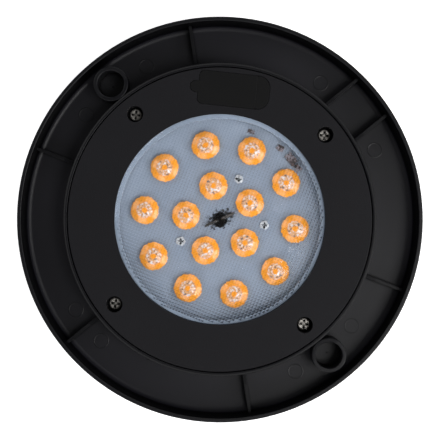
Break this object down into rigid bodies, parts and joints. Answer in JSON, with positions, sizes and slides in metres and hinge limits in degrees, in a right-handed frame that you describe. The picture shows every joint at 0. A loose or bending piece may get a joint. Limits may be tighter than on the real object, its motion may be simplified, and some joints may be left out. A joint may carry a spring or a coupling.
{
  "type": "underwater pond light",
  "caption": "Round floating solar pond light with a prismatic LED window, air channel, anchor sockets and a charging flap.",
  "frame": {"origin": "centre of the flat ring that the light rests on when it lies with its LED window up", "axes": "+Z out of the LED window, +Y towards the charging flap, +X towards the flap's fixed end"},
  "size_m": [0.18, 0.18, 0.036],
  "materials": {
    "shell_plastic": "moulded, satin",
    "cover_plastic": "fine spark texture",
    "inner_plastic": "moulded",
    "flap_rubber": "matte",
    "seal_rubber": "matte",
    "screw_steel": "plain",
    "nickel": "plated",
    "window_clear": "clear polycarbonate",
    "optic_clear": "clear acrylic over the phosphor",
    "phosphor": "matt",
    "board_white": "solder mask",
    "board_green": "solder mask",
    "chip_black": "epoxy",
    "cell_wrap": "shrink wrap",
    "silicon": "monocrystalline",
    "lead_insulation": "extruded"
  },
  "bodies": {
    "lamp": {"float_shell": "shell_plastic", "anchor_socket_a": "shell_plastic", "anchor_socket_b": "shell_plastic", "bottom_cover": "cover_plastic", "cover_gasket": "seal_rubber", "cover_screws": "screw_steel", "window_lens": "window_clear", "lens_gasket": "seal_rubber", "led_board": "board_white", "led_emitters": "phosphor", "board_chips": "chip_black", "board_screws": "screw_steel", "led_leads": "lead_insulation", "led_carrier": "inner_plastic", "carrier_screws": "screw_steel", "battery_cell": "cell_wrap", "battery_holder": "inner_plastic", "battery_tabs": "nickel", "holder_screws": "screw_steel", "battery_leads": "lead_insulation", "control_board": "board_green", "control_chips": "chip_black", "control_screws": "screw_steel", "port_board": "board_green", "charge_port": "nickel", "port_screws": "screw_steel", "port_leads": "lead_insulation", "tact_switch": "chip_black", "flap_anchor": "flap_rubber", "solar_window": "window_clear", "solar_seal": "seal_rubber", "solar_cells": "silicon", "solar_backsheet": "board_white", "solar_leads": "lead_insulation", "led_optic_01": "optic_clear", "led_optic_02": "optic_clear", "led_optic_03": "optic_clear", "led_optic_04": "optic_clear", "led_optic_05": "optic_clear", "led_optic_06": "optic_clear", "led_optic_07": "optic_clear", "led_optic_08": "optic_clear", "led_optic_09": "optic_clear", "led_optic_10": "optic_clear", "led_optic_11": "optic_clear", "led_optic_12": "optic_clear", "led_optic_13": "optic_clear", "led_optic_14": "optic_clear", "led_optic_15": "optic_clear"},
    "flap": {"port_flap": "flap_rubber"},
    "button": {"power_button": "flap_rubber", "switch_plunger": "chip_black"}
  },
  "joints": [
    {"name": "port_flap", "type": "hinge", "parent": "lamp", "child": "flap", "pos_m": [0.0102, 0.0577, 0.036], "axis": [0, 1, 0], "range_deg": [0, 110]},
    {"name": "power_button", "type": "slide", "parent": "lamp", "child": "button", "axis": [0, 0, -1], "range_m": [0, 0.0005], "stiffness_N_per_m": 800}
  ]
}
